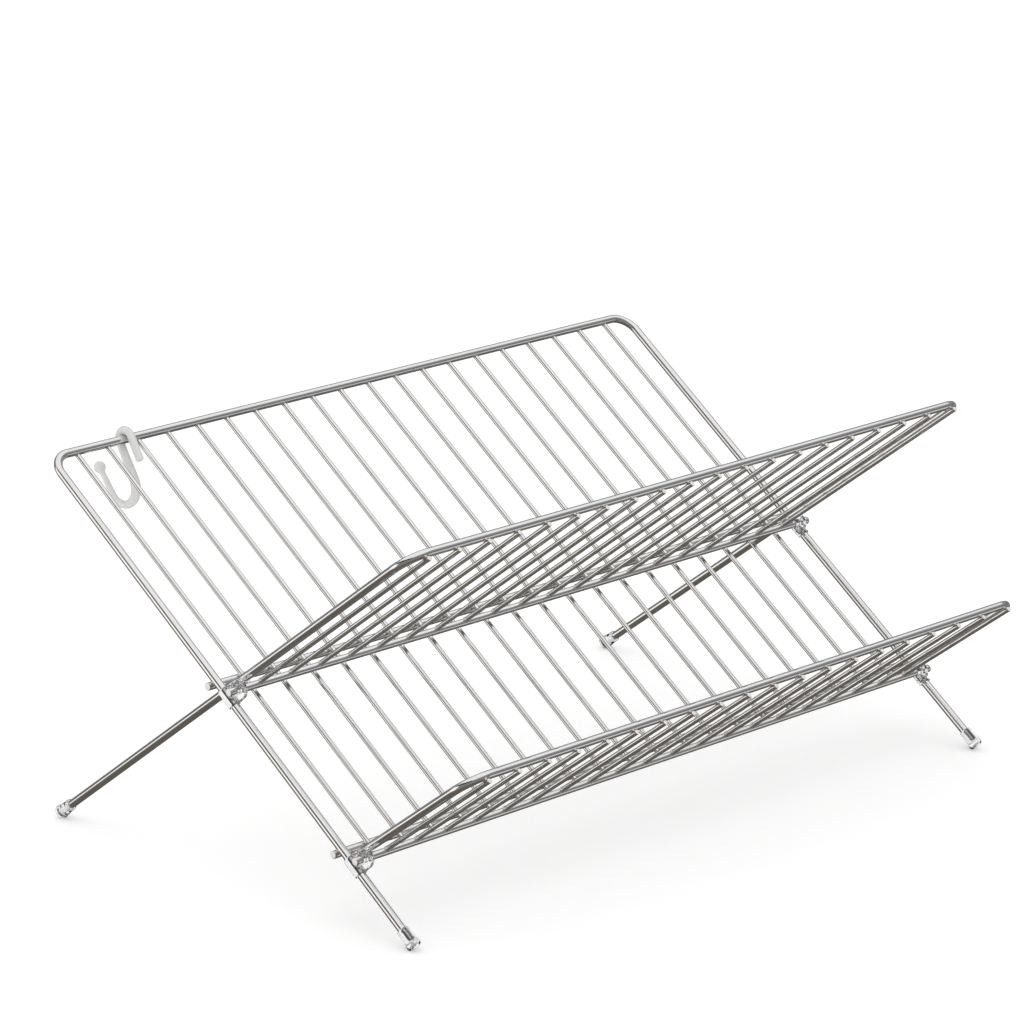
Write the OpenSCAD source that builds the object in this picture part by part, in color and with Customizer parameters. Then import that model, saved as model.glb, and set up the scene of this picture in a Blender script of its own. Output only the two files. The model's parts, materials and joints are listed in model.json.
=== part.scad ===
// Folding two-tier wire dish rack.
// Three bent-wire panels: a long main panel, an upper wing that carries the rear legs,
// and a lower wing. Each wing turns on its own cross rod, held in clear plastic clips.
// X runs along the rack, -Y is the front, Z = 0 is the surface that it stands on.

/* [Overall] */
// Distance between the centres of the main panel's two side rails
rack_width = 518; // [500:1:640]
// Angle between each panel and the floor, when the rack is open
lean = 36.4; // [30:0.1:45]
// Length of a leg, from the upper crossing to the end of its foot cap
leg_length = 205; // [170:1:260]
// Length of the main panel above the upper crossing
main_top = 193.5; // [170:0.5:260]
// Distance along the main panel between the upper and the lower crossing
tier_gap = 135.2; // [125:0.1:165]

/* [Wings] */
// How much shorter the upper wing is above the crossing than the main panel
upper_wing_short = 4.5; // [0:0.5:40]
// How far the lower wing's top rail stays short of the upper crossing, when folded onto the main panel
lower_wing_short = 20.7; // [18:0.1:50]
// Length of the lower wing's side rails past the crossing
lower_wing_tail = 14.5; // [12:0.5:17]

/* [Wire] */
// Diameter of the bent side and top rails
rail_d = 5.5; // [4.5:0.1:6.6]
// Diameter of the straight cross rods
rod_d = 5; // [4:0.1:6]
// Diameter of the thin wires
wire_d = 3.2; // [2.4:0.1:3.9]
// Number of thin wires on each panel
wire_count = 20; // [4:1:20]
// Distance from the centre of the main side rail to the centre of the first thin wire
end_space = 21.5; // [20:0.5:40]
// Centre-line radius of the main panel's corners
main_bend_r = 14; // [8:0.5:20]
// Centre-line radius of the wings' corners
wing_bend_r = 16; // [8:0.5:24]
// How far the ends of the cross rods pass the centre of the side rail
rod_end = 4.2; // [0:0.1:6]
// How far the main panel's wires run past the lower under-rod
wire_tail = 3; // [1:0.1:6]
// How far the wings' wires run past the centre of their top rail
wire_head = 3; // [0:0.1:4]
// How deep one wire sinks into another at a weld
weld_sink = 0.15; // [0.05:0.01:0.3]

/* [Pivot clips] */
// Plastic between a wing's cross rod and the main side rail
saddle_wall = 1.2; // [0.8:0.1:2]
// Wall of the sleeve that grips the side rail
sleeve_wall = 1.2; // [0.8:0.1:2]
// Length of that sleeve along the side rail
sleeve_length = 13; // [8:0.5:16]
// Width of the mouth through which the sleeve snaps over the side rail
sleeve_mouth = 4.4; // [3:0.1:5]
// Wall of the round boss around the cross rod
boss_wall = 4; // [3:0.1:5]
// Thickness of the clip's round boss
boss_thickness = 2.8; // [2:0.1:4]
// Gap on each side of the boss, to the main side rail and to the wing's side rail
boss_side_gap = 0.45; // [0.3:0.05:1]
// Width along the side rail of the web between the sleeve and the boss
web_width = 9; // [6:0.5:12]
// Radial running clearance of the cross rod in the boss
pivot_clearance = 0.06; // [0.02:0.01:0.1]
// Free gap between parts that move past each other
free_gap = 0.3; // [0.3:0.05:0.5]

/* [Foot caps] */
// Wall of a foot cap at its open end
cap_wall = 0.95; // [0.8:0.05:2]
// How much wider in diameter the closed end is than the open end
cap_flare = 1.8; // [1:0.1:4]
// Length of a foot cap
cap_length = 13; // [8:0.5:20]
// Thickness of the closed end below the wire
cap_floor = 3; // [2:0.1:5]
// Chamfer around the closed end
cap_chamfer = 0.8; // [0.2:0.1:1.2]
// Diameter of the shallow dimple in the closed end
dimple_d = 4.6; // [2:0.1:5]
// Depth of that dimple
dimple_depth = 0.6; // [0.2:0.1:1]
// Depth of the flat that the cap stands on
foot_flat = 0.6; // [0.2:0.1:1]

/* [Cup hook] */
// Distance of the hook past the second thin wire
hook_offset = 15.5; // [5:0.5:20]
// Diameter of the hook's rod
hook_d = 5; // [3:0.1:6]
// How much thicker in diameter the hook's bends are than its straight lengths
bend_swell = 0.2; // [0.1:0.05:0.5]
// Slack of the arch over the top rail
arch_gap = 0.65; // [0.5:0.05:2]
// Length of the short leg in front
front_leg = 16.5; // [8:0.5:24]
// Length of the straight stem behind
stem = 24.5; // [12:0.5:40]
// Centre-line radius of the lower bend
cup_bend_r = 12.5; // [8:0.5:20]
// Angle that the lower bend turns through
cup_bend_angle = 172; // [120:1:180]
// Length from the end of the lower bend to the middle of the ball
tip_length = 19.4; // [8:0.1:30]
// Diameter of the tip, just below the ball
neck_d = 3.4; // [2:0.1:4]
// Diameter of the ball
ball_d = 7.4; // [5:0.1:10]
// Forward tilt of the hook as it hangs
hook_tilt = 30; // [0:1:40]

/* [Hidden] */
$fn = 64;

STEEL = "lightsteelblue";
ROD_STEEL = "silver";
WIRE_STEEL = "gainsboro";
CLEAR = [0.85, 0.9, 0.92, 0.6];
WHITE = "whitesmoke";

rail_r = rail_d / 2;
rod_r = rod_d / 2;
wire_r = wire_d / 2;
hook_r = hook_d / 2;
cap_top_r = rail_r + cap_wall;
cap_end_r = cap_top_r + cap_flare / 2;
sin_lean = sin(lean);
cos_lean = cos(lean);
main_half = rack_width / 2;
wing_half = main_half - rail_d - boss_thickness - 2 * boss_side_gap;
wire_pitch = (rack_width - 2 * end_space) / (wire_count - 1);
upper_wing_top = main_top - upper_wing_short;
lower_wing_top = tier_gap - lower_wing_short;

// Distances from a rail's axis to a cross rod's axis: welded on, carried by the clip,
// and met as the stop
welded = rail_r + rod_r - weld_sink;
carried = rail_r + rod_r + saddle_wall;
stopped = rail_r + rod_r + free_gap;

// Place of the two cross rods at a crossing, along the panels from the crossing point.
// Under-rod, measured along the main panel
under_rod_y = ((welded + stopped) * cos_lean / sin_lean + (stopped - welded) * sin_lean / cos_lean) / 2;
// Wing's rod, measured along the main panel and along the wing
pivot_on_main = -((carried + welded) * cos_lean / sin_lean - (carried - welded) * sin_lean / cos_lean) / 2;
pivot_on_wing = ((carried + welded) * cos_lean / sin_lean + (carried - welded) * sin_lean / cos_lean) / 2;

// Height of the middle of a foot cap's end, so that its lowest edge is cut flat by the floor
cap_low = max((cap_end_r - cap_chamfer) * cos_lean, cap_end_r * cos_lean - cap_chamfer * sin_lean);
cap_z = cap_low - foot_flat;
crossing_z = leg_length * sin_lean + cap_z;

// Wires lie on the under-rods on the main panel, and under the top rail on the wings
main_wire_z = wire_r + rod_r - welded - weld_sink;
wing_wire_z = rail_r + wire_r - weld_sink;
main_wire_low = under_rod_y - tier_gap - rod_r - wire_tail;
main_wire_high = main_top - sqrt(rail_r * rail_r - main_wire_z * main_wire_z) + weld_sink;
wing_wire_low = pivot_on_wing + sqrt(rod_r * rod_r - pow(welded - wing_wire_z, 2)) - weld_sink;

// Middle of the rack's depth: half way between the lower wing's front edge and the hook's ball
bend_rod_r = hook_r + bend_swell / 2;
arch_r = rail_r + bend_rod_r + arch_gap;
hook_drop = free_gap - arch_gap;
hook_x = end_space + wire_pitch + hook_offset - main_half;
tip_y = arch_r + cup_bend_r - cup_bend_r * cos(cup_bend_angle);
tip_z = -stem - cup_bend_r * sin(cup_bend_angle);
ball_y = tip_y + tip_length * sin(cup_bend_angle);
ball_z = tip_z - tip_length * cos(cup_bend_angle);
hook_back = main_top * cos_lean + ball_y * cos(hook_tilt) + (ball_z + hook_drop) * sin(hook_tilt) + ball_d / 2;
foot_back = leg_length * cos_lean + cap_end_r * sin_lean;
wing_front = (tier_gap + lower_wing_top + wire_head) * cos_lean + (wing_wire_z + wire_r) * sin_lean;
mid_y = (max(hook_back, foot_back) - wing_front) / 2;

// How far the hook's straight lengths run into its bends
hook_lap = 0.3;

// Larger than any part, for cuts that run right through
far = 400;

// The main panel's own frame: Y up along the panel, Z out of its upper side, origin at the
// upper crossing
module on_main() {
    translate([0, -mid_y, crossing_z])
        rotate([lean, 0, 0])
            children();
}

// A wing's own frame: Y up along the wing, Z out of its underside, origin at its crossing,
// which lies down the main panel by the given distance
module on_wing(down) {
    translate([0, -mid_y - down * cos_lean, crossing_z - down * sin_lean])
        rotate([180 - lean, 0, 0])
            children();
}

module cylinder_x(r, x0, x1) {
    translate([x0, 0, 0])
        rotate([0, 90, 0])
            cylinder(r = r, h = x1 - x0);
}

module cylinder_y(r, y0, y1) {
    translate([0, y0, 0])
        rotate([-90, 0, 0])
            cylinder(r = r, h = y1 - y0);
}

// A quarter bend in the XY plane, from the top rail down into the right side rail
module corner(bend_r) {
    rotate_extrude(angle = 90)
        translate([bend_r, 0])
            circle(r = rail_r);
}

// One bent rail: two side rails from y = low up to the corners, and a top rail
module bent_frame(half, low, top, bend_r) {
    for (side = [-1, 1])
        translate([side * half, 0, 0])
            cylinder_y(rail_r, low, top - bend_r);
    translate([half - bend_r, top - bend_r, 0])
        corner(bend_r);
    translate([bend_r - half, top - bend_r, 0])
        rotate([0, 0, 90])
            corner(bend_r);
    translate([0, top, 0])
        cylinder_x(rail_r, bend_r - half, half - bend_r);
}

// Evenly spaced straight wires, as separate rods
module wire_row(z, low, high) {
    for (i = [0 : wire_count - 1])
        translate([(i - (wire_count - 1) / 2) * wire_pitch, 0, z])
            cylinder_y(wire_r, low, high);
}

module cross_rod(y, z) {
    translate([0, y, z])
        cylinder_x(rod_r, -main_half - rod_end, main_half + rod_end);
}

module main_frame() {
    color(STEEL)
        on_main()
            bent_frame(main_half, cap_floor - leg_length, main_top, main_bend_r);
}

module main_wires() {
    color(WIRE_STEEL)
        on_main()
            wire_row(main_wire_z, main_wire_low, main_wire_high);
}

// A rod welded under the main panel, on which its wires lie and a wing comes to rest
module under_rod(down) {
    color(ROD_STEEL)
        on_main()
            cross_rod(under_rod_y - down, -welded);
}

// A clear clip: a sleeve snapped over the side rail from above, and a round boss beside it
// in which the wing's cross rod turns. Drawn on the main panel at the right side rail.
module pivot_clip() {
    sleeve_r = rail_r + sleeve_wall;
    boss_from = -rail_r - boss_side_gap - boss_thickness;
    difference() {
        union() {
            cylinder_y(sleeve_r, -sleeve_length / 2, sleeve_length / 2);
            translate([0, 0, carried])
                cylinder_x(rod_r + boss_wall, boss_from, boss_from + boss_thickness);
            translate([boss_from, -web_width / 2, 0])
                cube([-boss_from, web_width, carried - rod_r]);
        }
        cylinder_y(rail_r, -sleeve_length, sleeve_length);
        translate([-sleeve_mouth / 2, -sleeve_length, -2 * sleeve_r])
            cube([sleeve_mouth, 2 * sleeve_length, 2 * sleeve_r]);
        translate([0, 0, carried])
            cylinder_x(rod_r + pivot_clearance, -far, far);
        translate([0, 0, carried])
            cylinder_x(rod_r + free_gap, boss_from + boss_thickness, far);
    }
}

module place_clip(side, down) {
    color(CLEAR)
        on_main()
            translate([side * main_half, pivot_on_main - down, 0])
                mirror([side < 0 ? 1 : 0, 0, 0])
                    pivot_clip();
}

// A clear cap on a leg's end: a cone with a blind bore, a chamfer and a dimple.
// Drawn with the middle of its closed end at the origin and its bore up along Y.
module foot_cap() {
    rotate([-90, 0, 0])
        difference() {
            rotate_extrude()
                polygon([[0, 0], [cap_end_r - cap_chamfer, 0], [cap_end_r, cap_chamfer],
                    [cap_top_r, cap_length], [0, cap_length]]);
            translate([0, 0, cap_floor])
                cylinder(r = rail_r, h = cap_length);
            translate([0, 0, -dimple_depth])
                cylinder(d = dimple_d, h = 2 * dimple_depth);
        }
}

// Everything below the floor, which cuts the flat that a foot stands on
module floor_cut() {
    translate([-far, -far, -far])
        cube([2 * far, 2 * far, far]);
}

module front_foot_cap(side) {
    color(CLEAR)
        difference() {
            on_main()
                translate([side * main_half, -leg_length, 0])
                    foot_cap();
            floor_cut();
        }
}

module rear_foot_cap(side) {
    color(CLEAR)
        difference() {
            on_wing(0)
                translate([side * wing_half, -leg_length, 0])
                    foot_cap();
            floor_cut();
        }
}

module upper_wing_frame() {
    color(STEEL)
        on_wing(0)
            bent_frame(wing_half, cap_floor - leg_length, upper_wing_top, wing_bend_r);
}

module upper_wing_wires() {
    color(WIRE_STEEL)
        on_wing(0)
            wire_row(wing_wire_z, wing_wire_low, upper_wing_top + wire_head);
}

module lower_wing_frame() {
    color(STEEL)
        on_wing(tier_gap) {
            bent_frame(wing_half, rail_r - lower_wing_tail, lower_wing_top, wing_bend_r);
            for (side = [-1, 1])
                translate([side * wing_half, rail_r - lower_wing_tail, 0])
                    sphere(r = rail_r);
        }
}

module lower_wing_wires() {
    color(WIRE_STEEL)
        on_wing(tier_gap)
            wire_row(wing_wire_z, wing_wire_low, lower_wing_top + wire_head);
}

// The rod under a wing, on which it turns
module wing_rod(down) {
    color(ROD_STEEL)
        on_wing(down)
            cross_rod(pivot_on_wing, welded);
}

// An arc of the hook's rod in the YZ plane, from its start angle, counted from +Y towards +Z
module hook_arc(y, z, bend_r, start, turn) {
    translate([0, y, z])
        rotate([90, 0, 90])
            rotate([0, 0, start])
                rotate_extrude(angle = turn)
                    translate([bend_r, 0])
                        circle(r = bend_rod_r);
}

module cup_hook() {
    bend_y = arch_r + cup_bend_r;
    color(WHITE)
        translate([hook_x, main_top * cos_lean - mid_y, crossing_z + main_top * sin_lean])
            rotate([-hook_tilt, 0, 0])
                translate([0, 0, hook_drop]) {
                    hook_arc(0, 0, arch_r, 0, 180);
                    translate([0, -arch_r, -front_leg])
                        cylinder(r = hook_r, h = front_leg + hook_lap);
                    translate([0, arch_r, -stem - hook_lap])
                        cylinder(r = hook_r, h = stem + 2 * hook_lap);
                    hook_arc(bend_y, -stem, cup_bend_r, 180, cup_bend_angle);
                    translate([0, tip_y, tip_z])
                        rotate([cup_bend_angle - 180, 0, 0])
                            translate([0, 0, -hook_lap])
                                cylinder(r1 = hook_r, r2 = neck_d / 2, h = tip_length + hook_lap);
                    translate([0, ball_y, ball_z])
                        sphere(d = ball_d);
                }
}

main_frame();
main_wires();
under_rod(0);  // upper_under_rod
under_rod(tier_gap);  // lower_under_rod
place_clip(-1, 0);  // upper_left_clip
place_clip(1, 0);  // upper_right_clip
place_clip(-1, tier_gap);  // lower_left_clip
place_clip(1, tier_gap);  // lower_right_clip
front_foot_cap(-1);  // front_left_foot_cap
front_foot_cap(1);  // front_right_foot_cap
upper_wing_frame();
upper_wing_wires();
wing_rod(0);  // upper_cross_rod
rear_foot_cap(-1);  // rear_left_foot_cap
rear_foot_cap(1);  // rear_right_foot_cap
lower_wing_frame();
lower_wing_wires();
wing_rod(tier_gap);  // lower_cross_rod
cup_hook();
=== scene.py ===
"""A folding wire dish rack: bent chrome rails, straight wires, clear clips and caps, and a cup hook.

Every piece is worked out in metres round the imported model. Two flat panels set the frame:
`MAIN` is the long sloping panel, and `WING` gives the direction of both wings, which lean the other way.
"""

import json
import math

import bpy
import numpy as np
from bpy.props import FloatProperty, FloatVectorProperty, IntProperty, PointerProperty
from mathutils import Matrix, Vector


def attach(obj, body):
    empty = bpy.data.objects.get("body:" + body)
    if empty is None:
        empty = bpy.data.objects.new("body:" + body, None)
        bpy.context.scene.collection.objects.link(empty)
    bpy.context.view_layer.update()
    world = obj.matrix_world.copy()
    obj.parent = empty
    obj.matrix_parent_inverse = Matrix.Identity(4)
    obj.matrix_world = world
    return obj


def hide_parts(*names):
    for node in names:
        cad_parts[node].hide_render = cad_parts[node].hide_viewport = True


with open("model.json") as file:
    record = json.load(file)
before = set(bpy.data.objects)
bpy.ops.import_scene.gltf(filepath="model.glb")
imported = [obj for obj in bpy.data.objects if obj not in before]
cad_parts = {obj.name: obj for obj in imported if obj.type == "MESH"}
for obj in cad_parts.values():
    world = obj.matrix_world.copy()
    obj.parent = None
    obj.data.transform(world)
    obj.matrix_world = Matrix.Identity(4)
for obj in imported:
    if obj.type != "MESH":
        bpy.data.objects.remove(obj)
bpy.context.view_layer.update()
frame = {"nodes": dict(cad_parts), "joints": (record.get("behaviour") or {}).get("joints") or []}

bl_info = {
    "name": "Wire dish rack",
    "version": (1, 0, 0),
    "blender": (4, 5, 0),
    "location": "View3D > Sidebar > Dish rack",
    "description": "Builds a folding wire dish rack piece by piece",
    "category": "Add Mesh",
}

MM = 0.001
SIDE = np.array([1.0, 0.0, 0.0])


# ---------------------------------------------------------------- places taken from the frame


def joint_place(name):
    """The point on a joint's axis, as an array in metres."""
    return np.array(next(j["pos_m"] for j in frame["joints"] if j["name"] == name))


def node_points(node):
    """Every corner of a CAD node's mesh, as an array in metres."""
    mesh = frame["nodes"][node].data
    points = np.empty(len(mesh.vertices) * 3, np.float32)
    mesh.vertices.foreach_get("co", points)
    return points.reshape(-1, 3).astype(float)


def span(node, direction):
    """The lowest and highest reach of a CAD node along a direction."""
    reach = node_points(node) @ direction
    return reach.min(), reach.max()


def middle(node, direction):
    """Half way between a CAD node's two ends along a direction."""
    return sum(span(node, direction)) / 2


class Panel:
    """A flat panel's directions: `up` along its wires and `face` square to it. SIDE x up = face."""

    def __init__(self, lean):
        self.up = np.array([0.0, math.cos(lean), math.sin(lean)])
        self.face = np.array([0.0, -math.sin(lean), math.cos(lean)])

    def place(self, x, along, out):
        """The point at x across, `along` up the panel and `out` from it, counted from the origin."""
        x, along, out = np.broadcast_arrays(x, along, out)
        return x[..., None] * SIDE + along[..., None] * self.up + out[..., None] * self.face


CLIMB = joint_place("upper_wing_fold") - joint_place("lower_wing_fold")
LEAN = math.atan2(CLIMB[2], CLIMB[1])
MAIN = Panel(LEAN)
WING = Panel(math.pi - LEAN)


def bar_radius(node):
    """A bar's radius: half of its CAD node's depth, square to the main panel."""
    low, high = span(node, MAIN.face)
    return (high - low) / 2


RAIL_RADIUS = bar_radius("main_frame")
WIRE_RADIUS = bar_radius("main_wires")
ROD_RADIUS = bar_radius("upper_cross_rod")


# ---------------------------------------------------------------- sizes and colours


def length(name, description, value):
    """A length in millimetres, kept in metres."""
    return FloatProperty(name=name, description=description, default=value * MM, unit="LENGTH", precision=5)


def colour(name, description, value):
    """A linear colour."""
    return FloatVectorProperty(name=name, description=description, default=value, size=3, subtype="COLOR")


class RackSizes(bpy.types.PropertyGroup):
    """Sizes of the rack's metal pieces."""

    main_bend: length("Main corner radius", "Centre-line radius of the main rail's corners", 14)
    wing_bend: length("Wing corner radius", "Centre-line radius of the wing rails' corners", 16)
    rail_end: length("Rail end rounding", "Rounding of a rail's cut end", 0.5)
    rod_end: length("Rod end rounding", "Rounding of a cross rod's cut end", 0.35)
    wire_end: length("Wire end rounding", "Rounding of a thin wire's cut end", 0.3)
    wire_count: IntProperty(name="Wires", description="Thin wires on each panel", default=20)
    bead_reach: length("Weld reach", "How far a weld bead spreads from its crossing", 1.9)
    heat_reach: length("Weld heat reach", "How far the tint around a weld spreads", 3.2)


class PlasticSizes(bpy.types.PropertyGroup):
    """Sizes of the clear clips, the foot caps and the cup hook."""

    sleeve_wall: length("Sleeve wall", "Wall of the sleeve that grips the side rail", 1.2)
    sleeve_length: length("Sleeve length", "Length of the sleeve along the rail", 13)
    sleeve_mouth: length("Sleeve mouth", "Width of the mouth that snaps over the rail", 4.4)
    boss_wall: length("Boss wall", "Wall of the round boss around the rod", 4)
    boss_thickness: length("Boss thickness", "Thickness of the round boss", 2.8)
    boss_gap: length("Boss gap", "Gap between the boss and the main side rail", 0.45)
    play: length("Play", "Gap between plastic and the metal in it", 0.12)
    cap_floor: length("Cap floor", "Thickness of a foot cap's closed end", 3)
    cap_length: length("Cap length", "Length of a foot cap", 13)
    cap_top: length("Cap top radius", "Radius of a foot cap at its open end", 3.7)
    cap_end: length("Cap end radius", "Radius of a foot cap at its closed end", 4.6)
    hook_radius: length("Hook rod radius", "Radius of the cup hook's rod", 2.6)
    hook_swell: length("Hook stem swell", "How much thicker the hook's stem grows half way", 0.55)
    hook_arch: length("Hook arch radius", "Centre-line radius of the arch over the rail", 6)
    hook_leg: length("Hook front leg", "Length of the short leg in front", 16.5)
    hook_stem: length("Hook stem", "Length of the straight stem behind", 24.5)
    hook_bend: length("Hook bend radius", "Centre-line radius of the lower bend", 12.5)
    hook_tip: length("Hook tip", "Length from the lower bend to the middle of the ball", 19.4)
    hook_neck: length("Hook neck radius", "Radius of the tip just below the ball", 1.7)
    hook_ball: length("Hook ball radius", "Radius of the ball", 3.7)
    hook_turn: FloatProperty(
        name="Hook bend", description="Turn of the lower bend", default=math.radians(172), subtype="ANGLE"
    )
    hook_tilt: FloatProperty(
        name="Hook tilt", description="Tilt as the hook hangs", default=math.radians(30), subtype="ANGLE"
    )


class RackColours(bpy.types.PropertyGroup):
    """Colours of the finishes."""

    chrome: colour("Chrome", "Polished plate on rails, rods and wires", (0.86, 0.86, 0.865))
    raw_steel: colour("Cut steel", "Bare sheared ends of the bars", (0.95, 0.90, 0.86))
    weld_tint: colour("Weld tint", "Straw tint in the plate around a weld", (0.76, 0.69, 0.60))
    clear: colour("Clear plastic", "Clear clips and foot caps", (0.985, 0.99, 0.99))
    white: colour("White plastic", "Cup hook", (0.76, 0.76, 0.755))
    floor: colour("Floor", "Pale studio floor", (0.95, 0.95, 0.95))


class StudioSettings(bpy.types.PropertyGroup):
    """Camera and lights."""

    azimuth: FloatProperty(
        name="Azimuth", description="Camera's turn", default=math.radians(-45.47), subtype="ANGLE"
    )
    elevation: FloatProperty(
        name="Elevation", description="Camera's height angle", default=math.radians(15.98), subtype="ANGLE"
    )
    distance: length("Distance", "Camera's distance from its aim", 3196)
    lens: FloatProperty(name="Lens", description="Focal length", default=175.83, unit="CAMERA")
    aim: FloatVectorProperty(
        name="Aim", description="What the camera looks at", default=(0.0060, 0.0267, 0.1782), subtype="XYZ"
    )
    sky: FloatProperty(name="Room light", description="Even light from all round", default=0.80)
    softbox: FloatProperty(name="Softbox power", description="Power of the large overhead light", default=4.5)


# ---------------------------------------------------------------- surfaces


def turned_outward(grid):
    """The same surface with its faces outward, told by the sign of the volume that its rings enclose."""
    centre = grid.reshape(-1, 3).mean(0)
    a = grid[:-1] - centre
    b = np.roll(grid[:-1], -1, axis=1) - centre
    d = grid[1:] - centre
    volume = (a * np.cross(b, d)).sum()
    return grid if volume > 0 else grid[:, ::-1]


def grid_faces(rows, columns, looped):
    """Quads of a grid of rings. Looped rows close into a torus; otherwise each end gets one flat cap."""
    row = np.arange(rows if looped else rows - 1)[:, None]
    column = np.arange(columns)[None, :]
    next_row, next_column = (row + 1) % rows, (column + 1) % columns
    quads = np.stack(
        [
            row * columns + column,
            row * columns + next_column,
            next_row * columns + next_column,
            next_row * columns + column,
        ],
        -1,
    ).reshape(-1, 4)
    caps = [] if looped else [np.arange(columns)[::-1], (rows - 1) * columns + np.arange(columns)]
    return quads, caps


SHARP_EDGE = math.radians(35)


class Shell:
    """Closed grids of rings gathered into one mesh, each with values kept at its points."""

    def __init__(self):
        self.points, self.faces, self.values, self.count = [], [], {}, 0

    def add(self, grid, looped=False, **values):
        """Adds a grid of rows x columns x 3. A value is given for each point, or for each row."""
        flipped = turned_outward(grid)
        reverse = flipped is not grid
        rows, columns = grid.shape[:2]
        quads, caps = grid_faces(rows, columns, looped)
        self.faces += (quads + self.count).tolist() + [(cap + self.count).tolist() for cap in caps]
        self.points.append(flipped.reshape(-1, 3))
        for name, value in values.items():
            value = value if value.ndim > 1 else value[:, None]
            value = np.broadcast_to(value, (rows, columns) + value.shape[2:])
            value = value[:, ::-1] if reverse else value
            self.values.setdefault(name, []).append(value.reshape(rows * columns, -1))
        self.count += rows * columns

    def build(self, name, material):
        """Puts the grids into a new mesh object at the origin."""
        mesh = bpy.data.meshes.new(name)
        mesh.from_pydata(np.vstack(self.points), [], self.faces, shade_flat=False)
        mesh.set_sharp_from_angle(angle=SHARP_EDGE)
        for key, parts in self.values.items():
            data = np.vstack(parts).astype(np.float32)
            kind, field = ("FLOAT", "value") if data.shape[1] == 1 else ("FLOAT_VECTOR", "vector")
            mesh.attributes.new(key, kind, "POINT").data.foreach_set(field, data.ravel())
        mesh.materials.append(material)
        mesh.update()
        piece = bpy.data.objects.new(name, mesh)
        bpy.context.scene.collection.objects.link(piece)
        return piece


def rings(path, tangent, normal, radius, sides):
    """Rings carried along a flat path: path + radius * (cos t * (normal x tangent) + sin t * normal)."""
    turn = np.linspace(0, 2 * math.pi, sides, endpoint=False)
    across = np.cross(normal, tangent)
    radius = np.broadcast_to(radius, (len(path),))
    ring = np.cos(turn)[None, :, None] * across[:, None, :] + np.sin(turn)[None, :, None] * normal
    return path[:, None, :] + radius[:, None, None] * ring


def rounded_ends(path, tangent, radius, rounding, steps=4):
    """Path, tangents and radii of a bar with rounded ends: each end is a quarter circle of that rounding."""
    angle = np.linspace(0, math.pi / 2, steps + 1)
    inset, ring = rounding * (1 - np.cos(angle)), radius - rounding * (1 - np.sin(angle))
    head = path[0] + inset[:, None] * tangent[0]
    tail = path[-1] - inset[::-1, None] * tangent[-1]
    keep = slice(1, -1)
    path = np.vstack([head, path[keep], tail])
    ends = np.ones((steps + 1, 1))
    tangent = np.vstack([ends * tangent[0], tangent[keep], ends * tangent[-1]])
    radii = np.concatenate([ring, np.full(len(path) - 2 * (steps + 1), radius), ring[::-1]])
    return path, tangent, radii


def warmth(points, welds, reach):
    """How near each point is to a weld: exp(-(distance / reach)^2) to the nearest one."""
    if len(welds) == 0:
        return np.zeros(len(points))
    gap = np.linalg.norm(points[:, None, :] - np.asarray(welds)[None, :, :], axis=2).min(1)
    return np.exp(-((gap / reach) ** 2))


def add_bar(shell, path, tangent, normal, radius, rounding, welds, reach, sides, offset):
    """A round bar along a flat path, with what its finish needs.

    `drawn` is each point's place in the straight bar before bending: its length along, then radius times
    the cosine and the sine of its turn. `cut` is 1 on the sheared ends. `heat` is 1 at a weld. `offset`
    shifts `drawn` along, so that no two bars of a piece carry the same marks.
    """
    path, tangent, radii = rounded_ends(path, tangent, radius, rounding)
    grid = rings(path, tangent, normal, radii, sides)
    run = np.concatenate([[0], np.cumsum(np.linalg.norm(np.diff(path, axis=0), axis=1))]) + offset
    turn = np.linspace(0, 2 * math.pi, sides, endpoint=False)
    across, out = radii[:, None] * np.cos(turn), radii[:, None] * np.sin(turn)
    drawn = np.stack(np.broadcast_arrays(run[:, None], across, out), -1)
    cut = np.zeros(len(path))
    cut[[0, -1]] = 1
    shell.add(grid, drawn=drawn, cut=cut, heat=warmth(path, welds, reach))


def straight(start, end, step=3 * MM):
    """Evenly spaced points from start to end, with their tangents."""
    size = np.linalg.norm(end - start)
    count = max(4, int(size / step))
    path = start + np.linspace(0, 1, count)[:, None] * (end - start)
    return path, np.ones((count, 1)) * (end - start) / size


def bent_rail(half, low, top, bend, step=2.5 * MM):
    """A rail's centre line, as x, height up the panel, and heading.

    The rail climbs a side, turns a quarter circle, crosses, turns again and comes down. Each part's share of
    the length run so far is the run, clipped to that part, so every point is a sum of five clipped terms.
    """
    climb, quarter, bridge = top - bend - low, bend * math.pi / 2, 2 * (half - bend)
    knots = np.cumsum([0, climb, quarter, bridge, quarter, climb])
    corners = [np.linspace(knots[k], knots[k + 1], 21) for k in (1, 3)]
    run = np.unique(np.round(np.concatenate([np.arange(0, knots[-1], step), knots, *corners]), 7))
    up, a, over, b, down = (np.clip(run - knots[k], 0, knots[k + 1] - knots[k]) for k in range(5))
    a, b = a / bend, b / bend
    x = -half + bend * (1 - np.cos(a)) + over + bend * np.sin(b)
    height = low + up + bend * np.sin(a) - bend * (1 - np.cos(b)) - down
    return x, height, a + b


# ---------------------------------------------------------------- shader maths


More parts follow.
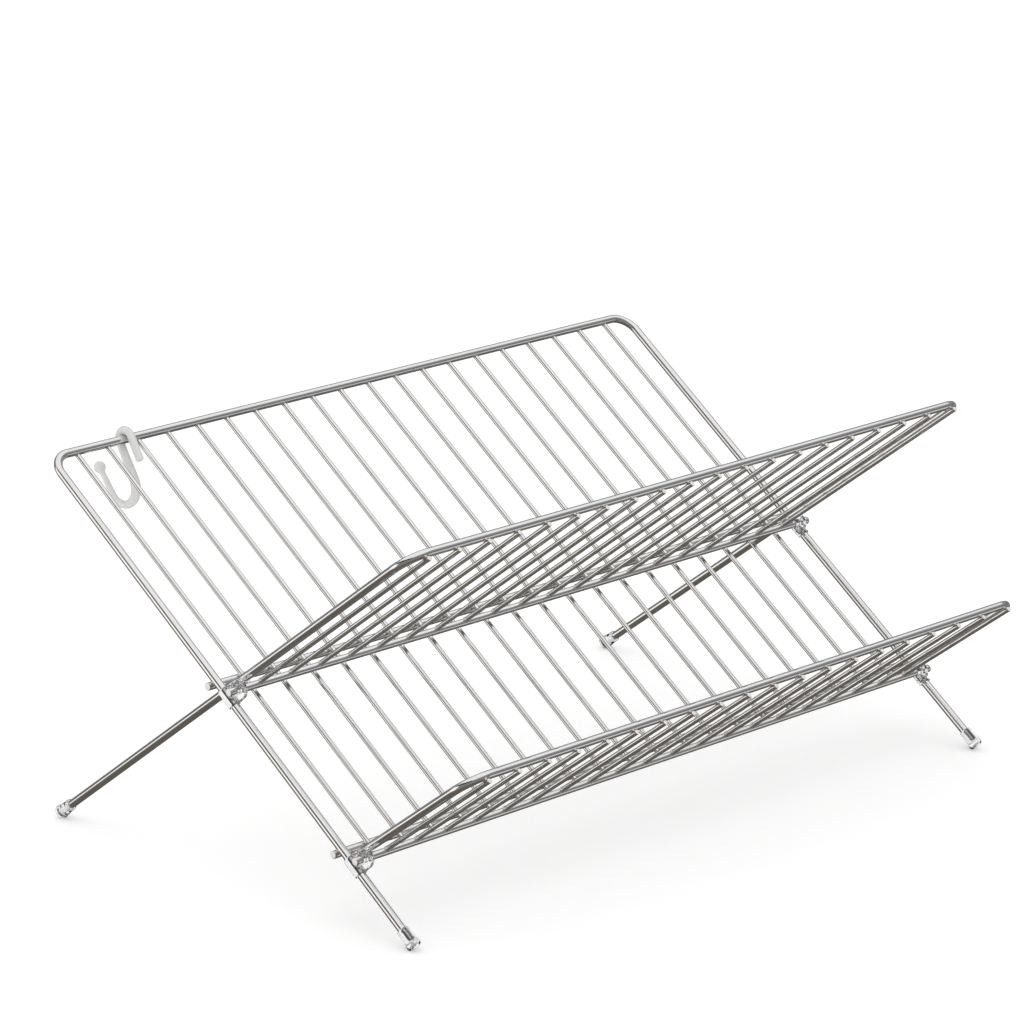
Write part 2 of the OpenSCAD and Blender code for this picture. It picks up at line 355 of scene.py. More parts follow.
class Value:
    """A socket that adds Math nodes when it is used in an expression."""

    def __init__(self, shader, socket):
        self.shader, self.socket = shader, socket

    def maths(self, operation, other):
        """One Math node on this value and another value or number."""
        return self.shader.node("ShaderNodeMath", {"operation": operation}, {0: self, 1: other})

    def __add__(self, other):
        return self.maths("ADD", other)

    def __sub__(self, other):
        return self.maths("SUBTRACT", other)

    def __mul__(self, other):
        return self.maths("MULTIPLY", other)

    def __rsub__(self, other):
        return (self * -1) + other

    __radd__ = __add__
    __rmul__ = __mul__

    def step(self, low, high):
        """0 below low, 1 above high, and smooth between them."""
        inputs = {"Value": self, "From Min": low, "From Max": high}
        return self.shader.node("ShaderNodeMapRange", {"interpolation_type": "SMOOTHSTEP"}, inputs)

    def between(self, low, high, soft):
        """1 from low to high, falling to 0 over `soft` on each side."""
        return self.step(low - soft, low) * (1 - self.step(high, high + soft))


class Shader:
    """One material's or world's node tree."""

    def __init__(self, owner):
        owner.use_nodes = True
        self.tree = owner.node_tree
        self.tree.nodes.clear()

    def node(self, kind, settings=None, inputs=None, output=0):
        """A node of a type, given its settings first and then its sockets' values or links."""
        made = self.tree.nodes.new(kind)
        for name, value in (settings or {}).items():
            setattr(made, name, value)
        for name, value in (inputs or {}).items():
            if isinstance(value, Value):
                self.tree.links.new(value.socket, made.inputs[name])
            else:
                made.inputs[name].default_value = value
        return Value(self, made.outputs[output]) if made.outputs else None

    def mix(self, factor, low, high):
        """A colour between two colours."""
        sockets = {0: factor, 6: self.rgba(low), 7: self.rgba(high)}
        return self.node("ShaderNodeMix", {"data_type": "RGBA"}, sockets, output=2)

    @staticmethod
    def rgba(value):
        """A colour with full alpha, or a link as it is."""
        return value if isinstance(value, Value) else (*value, 1.0)

    def attribute(self, name, output=2):
        """A value kept at the mesh's points: output 1 is a vector and 2 is a number."""
        return self.node("ShaderNodeAttribute", {"attribute_name": name}, output=output)

    def object_place(self):
        """The place of the shaded point in the piece, in metres."""
        return self.node("ShaderNodeTexCoord", output="Object")

    def stretched(self, vector, scale):
        """A place scaled along each axis."""
        return self.node("ShaderNodeMapping", {"vector_type": "POINT"}, {"Vector": vector, "Scale": scale})

    def noise(self, vector, scale, detail=2.0, roughness=0.5):
        """Soft noise, from about 0 to 1, with `scale` lumps to the metre."""
        inputs = {"Vector": vector, "Scale": scale, "Detail": detail, "Roughness": roughness}
        return self.node("ShaderNodeTexNoise", None, inputs)

    def bump(self, height, strength, distance):
        """A normal raised by a height, `distance` metres high at 1."""
        return self.node("ShaderNodeBump", None, {"Height": height, "Strength": strength, "Distance": distance})

    def surface(self, **inputs):
        """The Principled shader, with sockets named in words, joined to the output."""
        sockets = {name.replace("_", " ").title().replace("Ior", "IOR"): inputs[name] for name in inputs}
        shader = self.node("ShaderNodeBsdfPrincipled", None, sockets)
        self.node("ShaderNodeOutputMaterial", None, {"Surface": shader})


def shade(colour, share):
    """A colour times one share, or times a share for each of red, green and blue."""
    return tuple(np.array(colour) * share)


def finish(name, paint):
    """A material made once by its own paint function."""
    material = bpy.data.materials.get(name)
    if material is None:
        material = bpy.data.materials.new(name)
        paint(Shader(material), bpy.context.scene.rack_colours)
    return material


def paint_chrome(shader, colours):
    """Polished plate over drawn wire: fine lines along the bar, dull patches, a tint at welds, raw cut ends."""
    drawn, cut, heat = shader.attribute("drawn", 1), shader.attribute("cut"), shader.attribute("heat")
    lines = shader.noise(shader.stretched(drawn, (6, 2600, 2600)), 1.0, detail=3)
    patches = shader.noise(shader.object_place(), 42, detail=4, roughness=0.6).step(0.42, 0.72)
    spots = shader.noise(shader.object_place(), 310, detail=2).step(0.68, 0.80)
    grain = shader.noise(shader.stretched(drawn, (900, 3000, 3000)), 1.0, detail=4)
    plate = shader.mix(patches * 0.35, tuple(colours.chrome), shade(colours.chrome, 0.88))
    tinted = shader.mix(heat * 0.55, plate, tuple(colours.weld_tint))
    sheared = shader.mix(grain, tuple(colours.raw_steel), shade(colours.raw_steel, 0.86))
    shader.surface(
        base_color=shader.mix(cut, tinted, sheared),
        metallic=1 - cut * 0.8,
        roughness=0.025 + lines * 0.04 + patches * 0.05 + spots * 0.10 + heat * 0.12 + cut * 0.4,
        normal=shader.bump(lines * 0.5 + grain * cut * 4 + spots * 0.4, 0.25, 0.02 * MM),
    )


def paint_weld(shader, colours):
    """Plated weld metal: lumpy, a little duller than the bars and faintly straw coloured."""
    place = shader.object_place()
    lumps = shader.noise(place, 900, detail=4, roughness=0.6)
    tint = shader.noise(place, 160).step(0.35, 0.7)
    shader.surface(
        base_color=shader.mix(tint, shade(colours.chrome, 0.92), tuple(colours.weld_tint)),
        metallic=1.0,
        roughness=0.14 + lumps * 0.16,
        normal=shader.bump(lumps, 0.5, 0.06 * MM),
    )


def paint_clear(shader, colours):
    """Clear moulded plastic: glossy, with faint flow lines, scuffs and a trace of tint."""
    place = shader.object_place()
    flow = shader.noise(shader.stretched(place, (1, 1, 3)), 140, detail=3)
    scuffs = shader.noise(place, 620, detail=4, roughness=0.7).step(0.58, 0.78)
    shader.surface(
        base_color=shader.mix(flow.step(0.3, 0.8), tuple(colours.clear), shade(colours.clear, 0.975)),
        roughness=scuffs * 0.05,
        ior=1.49,
        transmission_weight=1.0,
        normal=shader.bump(flow, 0.06, 0.05 * MM),
    )


def paint_white(shader, colours):
    """Glossy white moulded plastic: soft orange-peel, faint flow marks and handling scuffs."""
    place = shader.object_place()
    peel = shader.noise(place, 700, detail=2)
    flow = shader.noise(shader.stretched(place, (1, 1, 0.35)), 120, detail=4, roughness=0.6)
    scuffs = shader.noise(place, 420, detail=5, roughness=0.75).step(0.60, 0.80)
    warm = (0.985, 0.965, 0.93)
    marks = flow.step(0.4, 0.75) * 0.5
    shader.surface(
        base_color=shader.mix(marks, tuple(colours.white), shade(colours.white, warm)),
        roughness=0.24 + peel * 0.05 + scuffs * 0.16,
        normal=shader.bump(peel + scuffs * 0.3, 0.16, 0.05 * MM),
        coat_weight=0.25 - scuffs * 0.2,
        coat_roughness=0.08,
    )


def paint_floor(shader, colours):
    """A matt pale floor with a barely seen mottle."""
    mottle = shader.noise(shader.object_place(), 3.0, detail=3)
    shader.surface(
        base_color=shader.mix(mottle, tuple(colours.floor), shade(colours.floor, 0.99)),
        roughness=0.85 + mottle * 0.05,
        specular_ior_level=0.1,
        emission_color=shader.mix(mottle, (1, 1, 1), (0.99, 0.99, 0.985)),
        emission_strength=0.26,
    )


# ---------------------------------------------------------------- metal pieces


def wire_places(node):
    """The x of each wire's centre line, evenly spaced across a CAD node."""
    low, high = span(node, SIDE)
    return np.linspace(low + WIRE_RADIUS, high - WIRE_RADIUS, bpy.context.scene.rack_sizes.wire_count)


def rod_centre(node, panel):
    """A cross rod's height up a panel and its distance out from it."""
    return middle(node, panel.up), middle(node, panel.face)


def rail_half(node):
    """Half the distance between a bent rail's two side lengths."""
    return span(node, SIDE)[1] - RAIL_RADIUS


# One row for each panel: name, body, directions, and the cross rods welded to it. The main panel's wires
# butt under its top rail; a wing's wires lie on its top rail and butt on its cross rod.
PANELS = {
    "main": ("main_panel", MAIN, ["upper_under_rod", "lower_under_rod"]),
    "upper_wing": ("upper_wing", WING, ["upper_cross_rod"]),
    "lower_wing": ("lower_wing", WING, ["lower_cross_rod"]),
}


def wire_welds(key):
    """The welds of a panel's thin wires: one row of points for each rail or rod that they meet."""
    _, panel, rods = PANELS[key]
    wires = f"{key}_wires"
    x, out = wire_places(wires), middle(wires, panel.face)
    low, high = span(wires, panel.up)
    if key == "main":
        rows = [panel.place(x, high, out)]
        rows += [panel.place(x, rod_centre(rod, panel)[0], out - WIRE_RADIUS) for rod in rods]
    else:
        top = span(f"{key}_frame", panel.up)[1] - RAIL_RADIUS
        rows = [panel.place(x, top, out - WIRE_RADIUS), panel.place(x, low, out)]
    return rows


def rail_welds(key):
    """The welds where a panel's cross rods pass its two side rails."""
    _, panel, rods = PANELS[key]
    node = f"{key}_frame"
    x, rail_out = rail_half(node) * np.array([-1, 1]), middle(node, panel.face)
    share = RAIL_RADIUS / (RAIL_RADIUS + ROD_RADIUS)
    welds = []
    for rod in rods:
        along, out = rod_centre(rod, panel)
        welds.append(panel.place(x, along, rail_out + (out - rail_out) * share))
    return welds


def panel_welds(key):
    """Every weld of a panel, as one list of points."""
    return np.vstack(wire_welds(key) + rail_welds(key))


def settle(piece, body, slot, *nodes):
    """The piece rides on a body and stands for its CAD nodes. The slot is not used."""
    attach(piece, body)
    if nodes:
        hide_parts(*nodes)


class RackOperator:
    """What every piece's operator shares."""

    bl_options = {"REGISTER", "UNDO"}


class RACK_OT_bent_rails(RackOperator, bpy.types.Operator):
    """The three bent rails: side rails, rounded corners and top rail in one bar"""

    bl_idname = "rack.bent_rails"
    bl_label = "Bent rails"

    def execute(self, context):
        sizes = context.scene.rack_sizes
        reach = 1.6 * sizes.heat_reach
        dome = 0.96 * RAIL_RADIUS
        for key, (body, panel, _) in PANELS.items():
            node = f"{key}_frame"
            low, high = span(node, panel.up)
            bend = sizes.main_bend if key == "main" else sizes.wing_bend
            x, along, heading = bent_rail(rail_half(node), low, high - RAIL_RADIUS, bend)
            path = panel.place(x, along, middle(node, panel.face))
            tangent = np.sin(heading)[:, None] * SIDE + np.cos(heading)[:, None] * panel.up
            rounding = dome if key == "lower_wing" else sizes.rail_end
            shell = Shell()
            add_bar(shell, path, tangent, panel.face, RAIL_RADIUS, rounding, panel_welds(key), reach, 36, 0)
            rail = shell.build(f"{key}_rail", finish("polished_chrome", paint_chrome))
            settle(rail, body, "rail_chrome", node)
        return {"FINISHED"}


class RACK_OT_thin_wires(RackOperator, bpy.types.Operator):
    """The straight thin wires of each panel"""

    bl_idname = "rack.thin_wires"
    bl_label = "Thin wires"

    def execute(self, context):
        sizes = context.scene.rack_sizes
        for key, (body, panel, _) in PANELS.items():
            node = f"{key}_wires"
            low, high = span(node, panel.up)
            out = middle(node, panel.face)
            welds = np.stack(wire_welds(key))
            shell = Shell()
            for number, x in enumerate(wire_places(node)):
                path, tangent = straight(panel.place(x, low, out), panel.place(x, high, out))
                own, reach = welds[:, number], sizes.heat_reach
                add_bar(shell, path, tangent, panel.face, WIRE_RADIUS, sizes.wire_end, own, reach, 20, number)
            wires = shell.build(f"{key}_thin_wires", finish("polished_chrome", paint_chrome))
            settle(wires, body, "wire_chrome", node)
        return {"FINISHED"}


class RACK_OT_cross_rods(RackOperator, bpy.types.Operator):
    """The four straight cross rods: two that a wing turns on and two that it comes to rest on"""

    bl_idname = "rack.cross_rods"
    bl_label = "Cross rods"

    def execute(self, context):
        sizes = context.scene.rack_sizes
        reach, step = 1.4 * sizes.heat_reach, 2.5 * MM
        for key, (body, panel, rods) in PANELS.items():
            welds = panel_welds(key)
            for number, node in enumerate(rods):
                along, out = rod_centre(node, panel)
                left, right = span(node, SIDE)
                path, tangent = straight(panel.place(left, along, out), panel.place(right, along, out), step)
                shell = Shell()
                add_bar(shell, path, tangent, panel.face, ROD_RADIUS, sizes.rod_end, welds, reach, 32, number)
                rod = shell.build(f"{node}_bar", finish("polished_chrome", paint_chrome))
                settle(rod, body, "rail_chrome", node)
        return {"FINISHED"}


class RACK_OT_weld_beads(RackOperator, bpy.types.Operator):
    """The small plated beads where wires, rods and rails are welded together"""

    bl_idname = "rack.weld_beads"
    bl_label = "Weld beads"

    def bead(self, panel, radii):
        """A flattened ball: radii times (cos v cos u, cos v sin u, sin v) across, up and out of the panel.
        Three waves round it, 4 percent high, keep it from looking turned."""
        pole = math.pi / 2 - 0.06
        v = np.linspace(-pole, pole, 9)[:, None]
        u = np.linspace(0, 2 * math.pi, 14, endpoint=False)[None, :]
        swell = 1 + 0.04 * np.sin(3 * u + 1) * np.cos(v)
        across, up, out = np.cos(v) * np.cos(u) * swell, np.cos(v) * np.sin(u) * swell, np.sin(v) + 0 * u
        return panel.place(across * radii[0], up * radii[1], out * radii[2])

    def execute(self, context):
        reach = context.scene.rack_sizes.bead_reach
        for key, (body, panel, _) in PANELS.items():
            shell = Shell()
            crossing = self.bead(panel, (reach, reach, 0.42 * reach))
            swell = 1.08 if key == "main" else 1.3
            butt = self.bead(panel, (swell * WIRE_RADIUS, 0.6 * reach, swell * WIRE_RADIUS))
            heavy = self.bead(panel, (1.3 * reach, 1.3 * reach, 0.55 * reach))
            butted = 0 if key == "main" else 1
            for row, places in enumerate(wire_welds(key)):
                for place in places:
                    shell.add((butt if row == butted else crossing) + place)
            for place in np.vstack(rail_welds(key)):
                shell.add(heavy + place)
            beads = shell.build(f"{key}_weld_beads", finish("weld_metal", paint_weld))
            settle(beads, body, "wire_chrome")
        return {"FINISHED"}


# ---------------------------------------------------------------- plastic pieces


def rounded_box(low, high, power=6, count=28):
    """A box with soft edges, in the clip's own axes. It is the ball (cos v cos u, cos v sin u, sin v), with
    every sine and cosine raised to 2 / power and its sign kept, stretched to the box."""

    def soft(value):
        return np.sign(value) * np.abs(value) ** (2 / power)

    pole = math.pi / 2 - 0.02
    v = np.linspace(-pole, pole, count)[:, None]
    u = np.linspace(0, 2 * math.pi, 2 * count, endpoint=False)[None, :]
    ring = soft(np.cos(v))
    shape = np.stack([ring * soft(np.cos(u)), ring * soft(np.sin(u)), soft(np.sin(v)) + 0 * u], -1)
    low, high = np.array(low), np.array(high)
    return (low + high) / 2 + shape * (high - low) / 2


class RACK_OT_pivot_clips(RackOperator, bpy.types.Operator):
    """The four clear clips: a sleeve snapped over the side rail, and a round boss that holds the wing's rod"""

    bl_idname = "rack.pivot_clips"
    bl_label = "Pivot clips"

    def sleeve(self, sizes):
        """A split sleeve. Its section is a band round the rail, from one lip of the mouth to the other, with
        round lips. Carried along the rail, the band thins towards both ends as a quarter circle."""
        inner, outer = RAIL_RADIUS + sizes.play, RAIL_RADIUS + sizes.sleeve_wall
        mid, half = (inner + outer) / 2, (outer - inner) / 2
        mouth = math.asin(min(0.98, sizes.sleeve_mouth / 2 / mid)) + half / mid
        start, end = -math.pi / 2 + mouth, 3 * math.pi / 2 - mouth
        count = 60
        sweep, lip = np.linspace(start, end, count), np.linspace(0, math.pi, 9)[1:-1]
        edge = np.concatenate([np.ones(count), np.cos(lip), -np.ones(count), -np.cos(lip)])
        angle = np.concatenate([sweep, end + 0 * lip, sweep[::-1], start + 0 * lip])
        bulge = np.concatenate([0 * sweep, np.sin(lip), 0 * sweep, -np.sin(lip)])
        ease = np.linspace(0, math.pi / 2, 6)
        inset = 0.8 * half
        lead = inset * (1 - np.cos(ease))
        along = np.concatenate([lead, sizes.sleeve_length - lead[::-1]])
        thick = half - inset * (1 - np.concatenate([np.sin(ease), np.sin(ease[::-1])]))
        reach = mid + thick[:, None] * edge
        turn = angle + bulge * thick[:, None] / mid
        along = along[:, None] - sizes.sleeve_length / 2 + 0 * turn
        return np.stack([reach * np.cos(turn), along, reach * np.sin(turn)], -1)

    def boss(self, sizes, near, out):
        """A disc with a bore: an oblong section turned about the wing's rod. The section is a circle whose sine
        and cosine are raised to a small power, with their signs kept, which squares it off."""
        inner, outer = ROD_RADIUS + sizes.play, ROD_RADIUS + sizes.boss_wall
        squared = 0.28
        turn = np.linspace(0, 2 * math.pi, 40, endpoint=False)
        across = np.sign(np.cos(turn)) * np.abs(np.cos(turn)) ** squared
        reach = np.sign(np.sin(turn)) * np.abs(np.sin(turn)) ** squared
        x = near + sizes.boss_thickness / 2 * (1 + across)
        radius = (inner + outer) / 2 + (outer - inner) / 2 * reach
        spin = np.linspace(0, 2 * math.pi, 72, endpoint=False)[None, :]
        radius = radius[:, None]
        return np.stack([x[:, None] + 0 * spin, radius * np.cos(spin), out + radius * np.sin(spin)], -1)

    def execute(self, context):
        sizes = context.scene.plastic_sizes
        half, rail_out = rail_half("main_frame"), middle("main_frame", MAIN.face)
        for level in ("upper", "lower"):
            along, rod_out = rod_centre(f"{level}_cross_rod", MAIN)
            out = rod_out - rail_out
            near = -RAIL_RADIUS - sizes.boss_gap - sizes.boss_thickness
            skin = RAIL_RADIUS + sizes.play
            inset = near + 0.3 * MM
            web, web_foot, web_top = 4.5 * MM, 0.2 * MM, out - ROD_RADIUS - 2 * sizes.play
            rib_in, rib_out, rib_foot, rib_top = 4.8 * MM, 5.6 * MM, 0.4 * MM, out + 0.5 * MM
            parts = [
                (self.sleeve(sizes), False),
                (self.boss(sizes, near, out), True),
                (rounded_box((inset, -web, web_foot), (-skin, web, web_top)), False),
                (rounded_box((inset, -rib_out, rib_foot), (-skin, -rib_in, rib_top)), False),
                (rounded_box((inset, rib_in, rib_foot), (-skin, rib_out, rib_top)), False),
            ]
            for side, hand in (("left", -1), ("right", 1)):
                shell = Shell()
                for grid, looped in parts:
                    x, up, away = np.moveaxis(grid, -1, 0)
                    shell.add(MAIN.place(hand * (half + x), along + up, rail_out + away), looped)
                clip = shell.build(f"{level}_{side}_clear_clip", finish("clear_moulded_plastic", paint_clear))
                remesh = clip.modifiers.new("one_skin", "REMESH")
                remesh.mode, remesh.voxel_size, remesh.use_smooth_shade = "VOXEL", 0.2 * MM, True
                smooth = clip.modifiers.new("moulded", "SMOOTH")
                smooth.factor, smooth.iterations = 0.5, 4
                settle(clip, "main_panel", "clear_plastic", f"{level}_{side}_clip")
        return {"FINISHED"}


class RACK_OT_foot_caps(RackOperator, bpy.types.Operator):
    """The four clear foot caps: a tapered cap with a collar, a blind bore and a dished end"""

    bl_idname = "rack.foot_caps"
    bl_label = "Foot caps"

    def outline(self, sizes):
        """Height up the leg and radius, from the middle of the bore's floor out over the mouth, down the taper
        and in to the middle of the dished end. Corners are rounded by smoothing passes over close points."""
        bore, top, end = RAIL_RADIUS + sizes.play, sizes.cap_top, sizes.cap_end
        mouth, floor, dish = sizes.cap_length, sizes.cap_floor, 0.62 * MM
        pin_hole = 0.02 * MM
        blind_bore = [(floor, 0), (floor, 0.8 * bore), (floor + 0.2 * bore, bore), (mouth - 0.5 * MM, bore)]
        collar = [
            (mouth, bore + 0.35 * MM),
            (mouth, top + 0.1 * MM),
            (mouth - 1.5 * MM, top + 0.25 * MM),
            (mouth - 1.8 * MM, top - 0.1 * MM),
        ]
        heel = [(1.3 * MM, end), (0.35 * MM, end - 0.25 * MM), (0, end - 1.0 * MM)]
        dished_end = [(0, 0.62 * end), (0.55 * MM, 0.50 * end), (dish, 0)]
        corners = np.array(blind_bore + collar + heel + dished_end)
        run = np.concatenate([[0], np.cumsum(np.linalg.norm(np.diff(corners, axis=0), axis=1))])
        fine = np.linspace(0, run[-1], 150)
        shape = np.stack([np.interp(fine, run, corners[:, k]) for k in (0, 1)], -1)
        for _ in range(3):
            shape[1:-1] = (shape[:-2] + 2 * shape[1:-1] + shape[2:]) / 4
        shape[[0, -1], 1] = pin_hole
        return shape

    def execute(self, context):
        sizes = context.scene.plastic_sizes
        shape = self.outline(sizes)
        spin = np.linspace(0, 2 * math.pi, 56, endpoint=False)[None, :]
        along, radius = shape[:, :1] + 0 * spin, shape[:, 1:]
        rows = (("front", "main_frame", MAIN, "main_panel"), ("rear", "upper_wing_frame", WING, "upper_wing"))
        for place, node, panel, body in rows:
            foot = span(node, panel.up)[0] - sizes.cap_floor
            out = middle(node, panel.face)
            for side, hand in (("left", -1), ("right", 1)):
                x = hand * rail_half(node) + radius * np.cos(spin)
                grid = panel.place(x, foot + along, out + radius * np.sin(spin))
                grid[..., 2] = np.maximum(grid[..., 2], 0)
                shell = Shell()
                shell.add(grid)
                cap = shell.build(f"{place}_{side}_clear_cap", finish("clear_moulded_plastic", paint_clear))
                settle(cap, body, "clear_plastic", f"{place}_{side}_foot_cap")
        return {"FINISHED"}


class RACK_OT_cup_hook(RackOperator, bpy.types.Operator):
    """The white cup hook, hung over the main panel's top rail"""

    bl_idname = "rack.cup_hook"
    bl_label = "Cup hook"

    def centre_line(self, s):
        """The hook's centre line in its own upright plane, as y, z, heading and the run along it.

        It climbs the front leg, turns half a circle over the rail, drops down the stem, turns the other way
        through the lower bend and climbs the tip. Each part's share of the run is the run, clipped to it.
        """
        arch, bend, tip = s.hook_arch * math.pi, s.hook_bend * s.hook_turn, s.hook_tip + s.hook_ball
        parts = [s.hook_leg, arch, s.hook_stem, bend, tip]
        knots = np.cumsum([0, *parts])
        near_ball = knots[-1] - s.hook_ball + s.hook_ball * np.sin(np.linspace(-1.2, math.pi / 2 - 0.02, 40))
        run = np.unique(np.concatenate([np.arange(0, near_ball[0], 0.8 * MM), near_ball]))
        leg, over, stem, under, tip = (np.clip(run - knots[k], 0, parts[k]) for k in range(5))
        over, under = over / s.hook_arch, under / s.hook_bend
        end = s.hook_turn
        y = -s.hook_arch * np.cos(over) + s.hook_bend * (1 - np.cos(under)) + tip * math.sin(end)
        z = leg - s.hook_leg + s.hook_arch * np.sin(over) - stem
        z = z - s.hook_bend * np.sin(under) - tip * math.cos(end)
        return y, z, over - under, run, knots

    def thickness(self, s, run, knots):
        """The rod's radius along the hook: a swell down the stem, a taper to the neck, and a ball blended in.
        The blend is the log of the sum of both radii's exponentials. The front leg ends in a quarter circle."""
        stem = np.clip((run - knots[2]) / (knots[4] - knots[2]), 0, 1)
        taper = np.clip((run - knots[3] - 0.4 * s.hook_bend) / (knots[5] - 2 * s.hook_ball - knots[3]), 0, 1)
        rod = s.hook_radius + s.hook_swell * np.sin(math.pi * stem) ** 2
        rod = rod + (s.hook_neck - rod) * taper**2 * (3 - 2 * taper)
        ball = np.sqrt(np.maximum(s.hook_ball**2 - (run - knots[5] + s.hook_ball) ** 2, 0))
        sharpness = 1.68 / MM
        joined = np.log(np.exp(sharpness * rod) + np.exp(sharpness * ball)) / sharpness
        past = run > knots[5] - s.hook_ball
        radius = np.where(past, ball, np.minimum(joined, s.hook_ball))
        edge = 0.7 * MM
        inset = np.clip(edge - run, 0, edge)
        return radius - (edge - np.sqrt(edge**2 - inset**2))

    def execute(self, context):
        s = context.scene.plastic_sizes
        y, z, heading, run, knots = self.centre_line(s)
        radius = self.thickness(s, run, knots)
        gap = 0.3 * MM
        drop = s.hook_arch - s.hook_radius - RAIL_RADIUS - gap
        lean = -s.hook_tilt
        forward = np.array([0, math.cos(lean), math.sin(lean)])
        upward = np.array([0, -math.sin(lean), math.cos(lean)])
        rail = joint_place("hook_swing")
        path = rail + y[:, None] * forward + (z - drop)[:, None] * upward
        tangent = np.sin(heading)[:, None] * forward + np.cos(heading)[:, None] * upward
        sides = 72
        turn = np.linspace(0, 2 * math.pi, sides, endpoint=False)
        seam_height, seam_width = 0.05 * MM, 0.06
        seam = seam_height * np.exp(-((np.sin(turn) / seam_width) ** 2))
        grid = rings(path, tangent, SIDE, radius, sides)
        away = (grid - path[:, None, :]) / radius[:, None, None]
        keep = np.clip(radius / s.hook_neck, 0, 1)[:, None, None]
        grid = grid + away * (seam[None, :, None] * keep)
        shell = Shell()
        shell.add(grid)
        hook = shell.build("white_cup_hook", finish("white_moulded_plastic", paint_white))
        settle(hook, "hook", "white_plastic", "cup_hook")
        return {"FINISHED"}


# ---------------------------------------------------------------- stage


def room(shader, light):
    """The room round the rack. Even white light reaches matt surfaces. Polished ones see a pale ceiling with a
    dark beam, dim walls, a dark floor, a bright window on the left, and a pale patch of floor in front. Light
    that has passed through clear plastic meets a dark room, which draws the plastic's outlines."""
    direction = shader.node("ShaderNodeTexCoord", output="Generated")
    parts = shader.node("ShaderNodeSeparateXYZ", None, {"Vector": direction}).socket.node.outputs
    x, z = Value(shader, parts["X"]), Value(shader, parts["Z"])

    def toward(point):
        """How nearly a direction points at a point: 1 straight at it."""
        unit = tuple(Vector(point).normalized())
        inputs = {0: direction, 1: unit}
        return shader.node("ShaderNodeVectorMath", {"operation": "DOT_PRODUCT"}, inputs, output="Value")

    underfoot, far_floor = (0.125, 0.112, 0.10), (0.26, 0.245, 0.225)
    low_wall, high_wall = (0.15, 0.155, 0.165), (0.27, 0.28, 0.295)
    pale_ceiling, dark_beam = (0.92, 0.915, 0.90), (0.035, 0.033, 0.032)
    window_light, lit_floor = (1.12, 1.07, 0.99), (0.66, 0.645, 0.62)
    soft = 0.05
    ground = shader.mix(z.step(-0.60, -0.15), underfoot, far_floor)
    walls = shader.mix(z.step(0.0, 0.45), low_wall, high_wall)
    above = shader.mix(z.step(0.50, 0.68), walls, pale_ceiling)
    seen = shader.mix(z.step(-0.06, 0.02), ground, above)
    beam = (x * -1).step(0.55, 0.68) * z.between(0.42, 0.66, soft)
    seen = shader.mix(beam, seen, dark_beam)
    window = toward((-0.788, 0.616, 0)).step(0.88, 0.92) * z.between(-0.25, 0.34, soft)
    seen = shader.mix(window, seen, window_light)
    patch = toward((0.69, -0.62, -0.37)).step(0.972, 0.988)
    seen = shader.mix(patch, seen, lit_floor)
    paths = shader.node("ShaderNodeLightPath").socket.node.outputs
    kinds = ("Camera", "Glossy", "Transmission")
    camera, glossy, through = (Value(shader, paths[f"Is {kind} Ray"]) for kind in kinds)
    even = shader.mix(camera, (light, light, light), (1, 1, 1))
    even = shader.mix(glossy, even, seen)
    dark_room = (0.07, 0.07, 0.075)
    even = shader.mix(through, even, dark_room)
    background = shader.node("ShaderNodeBackground", None, {"Color": even, "Strength": 1.0})
    shader.node("ShaderNodeOutputWorld", None, {"Surface": background})


def area_light(name, place, aim, size, power, tint):
    """A soft rectangular light that isn't seen by polished surfaces."""
    data = bpy.data.lights.new(name, "AREA")
    data.shape = "RECTANGLE"
    data.size, data.size_y = size
    data.energy, data.color = power, tint
    light = bpy.data.objects.new(name, data)
    light.location = place
    light.rotation_mode = "QUATERNION"
    light.rotation_quaternion = (Vector(aim) - Vector(place)).to_track_quat("-Z", "Y")
    light.visible_glossy = False
    bpy.context.scene.collection.objects.link(light)


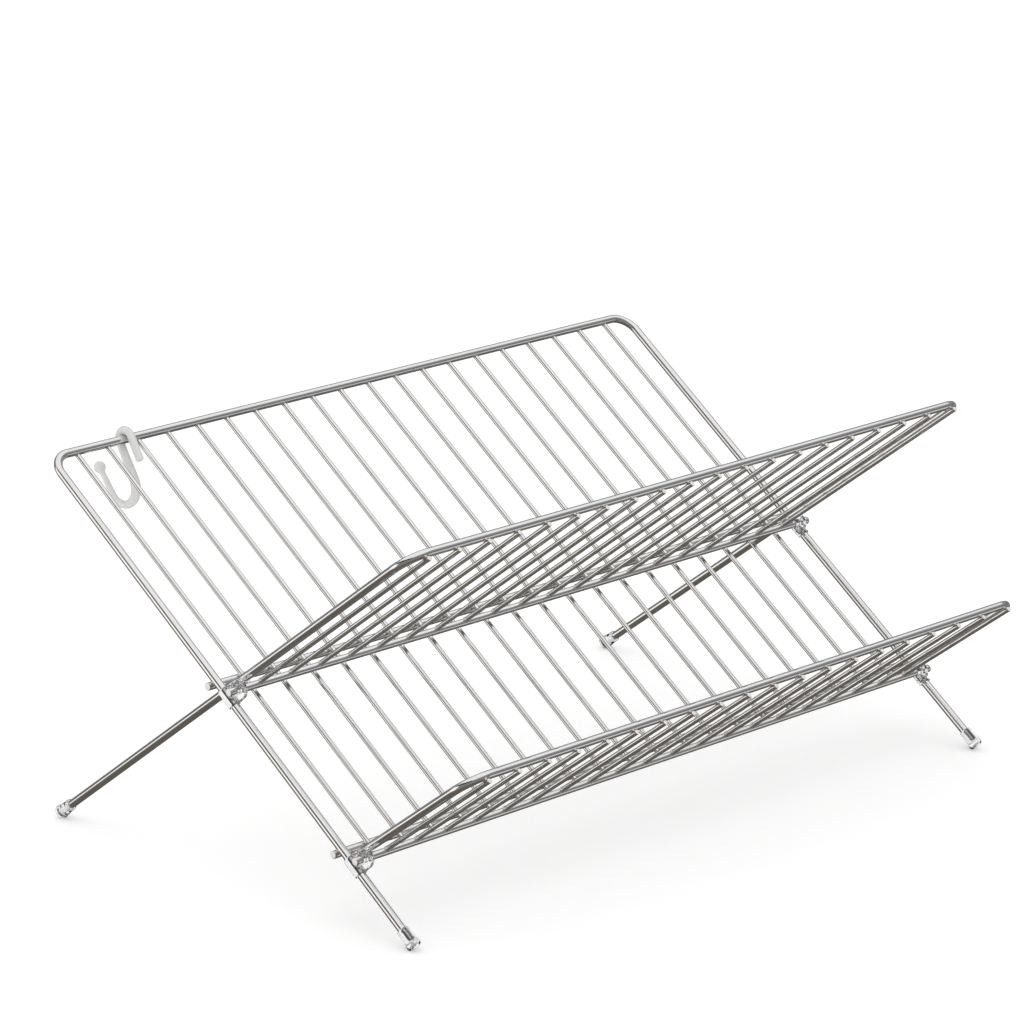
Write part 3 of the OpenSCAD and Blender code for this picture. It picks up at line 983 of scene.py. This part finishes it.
class RACK_OT_studio(RackOperator, bpy.types.Operator):
    """The pale floor, the room, the soft lights and the camera"""

    bl_idname = "rack.studio"
    bl_label = "Studio"

    def execute(self, context):
        scene, studio = context.scene, context.scene.rack_studio
        flat, edge, below = 6, 9, 0.3 * MM
        radius = np.linspace(0.02, edge, 60)[:, None]
        spin = np.linspace(0, 2 * math.pi, 96, endpoint=False)[None, :]
        height = np.maximum(radius - flat, 0) ** 2 / 4 + 0 * spin
        disc = np.stack([radius * np.cos(spin), radius * np.sin(spin), height - below], -1)
        quads, caps = grid_faces(*disc.shape[:2], False)
        mesh = bpy.data.meshes.new("pale_floor")
        mesh.from_pydata(disc.reshape(-1, 3), [], quads.tolist() + [caps[0].tolist()], shade_flat=False)
        mesh.materials.append(finish("pale_floor", paint_floor))
        floor = bpy.data.objects.new("pale_floor", mesh)
        floor.visible_glossy = False
        scene.collection.objects.link(floor)

        world = bpy.data.worlds.new("room")
        scene.world = world
        room(Shader(world), studio.sky)
        aim = tuple(studio.aim)
        area_light("overhead_softbox", (-0.6, -0.4, 2.2), aim, (2.0, 1.6), studio.softbox, (1.0, 0.99, 0.97))
        area_light("front_softbox", (-1.6, -2.4, 1.2), aim, (1.4, 1.2), 0.5 * studio.softbox, (0.98, 0.99, 1.0))

        camera = bpy.data.objects.new("camera", bpy.data.cameras.new("camera"))
        back = Vector((
            math.sin(studio.azimuth) * math.cos(studio.elevation),
            -math.cos(studio.azimuth) * math.cos(studio.elevation),
            math.sin(studio.elevation),
        ))
        camera.rotation_mode = "QUATERNION"
        camera.location = Vector(studio.aim) + back * studio.distance
        camera.rotation_quaternion = (-back).to_track_quat("-Z", "Y")
        camera.data.lens = studio.lens
        camera.data.sensor_width = 36
        camera.data.clip_start, camera.data.clip_end = 0.05, 60
        scene.collection.objects.link(camera)
        scene.camera = camera
        scene.view_settings.view_transform = "Standard"
        return {"FINISHED"}


# ---------------------------------------------------------------- the add-on

BUILD_ORDER = (
    RACK_OT_bent_rails,
    RACK_OT_thin_wires,
    RACK_OT_cross_rods,
    RACK_OT_weld_beads,
    RACK_OT_pivot_clips,
    RACK_OT_foot_caps,
    RACK_OT_cup_hook,
    RACK_OT_studio,
)


class RACK_PT_sidebar(bpy.types.Panel):
    """Lists the rack's pieces in the 3D view's sidebar"""

    bl_idname = "RACK_PT_sidebar"
    bl_label = "Dish rack"
    bl_space_type = "VIEW_3D"
    bl_region_type = "UI"
    bl_category = "Dish rack"

    def draw(self, context):
        for operator in BUILD_ORDER:
            self.layout.operator(operator.bl_idname)


GROUPS = {
    "rack_sizes": RackSizes,
    "plastic_sizes": PlasticSizes,
    "rack_colours": RackColours,
    "rack_studio": StudioSettings,
}


def register():
    for group in GROUPS.values():
        bpy.utils.register_class(group)
    for name, group in GROUPS.items():
        setattr(bpy.types.Scene, name, PointerProperty(type=group))
    for operator in BUILD_ORDER:
        bpy.utils.register_class(operator)
    bpy.utils.register_class(RACK_PT_sidebar)


def unregister():
    bpy.utils.unregister_class(RACK_PT_sidebar)
    for operator in reversed(BUILD_ORDER):
        bpy.utils.unregister_class(operator)
    for name, group in GROUPS.items():
        delattr(bpy.types.Scene, name)
        bpy.utils.unregister_class(group)


def main():
    register()
    for operator in BUILD_ORDER:
        group, name = operator.bl_idname.split(".")
        getattr(getattr(bpy.ops, group), name)()


if __name__ == "__main__":
    main()
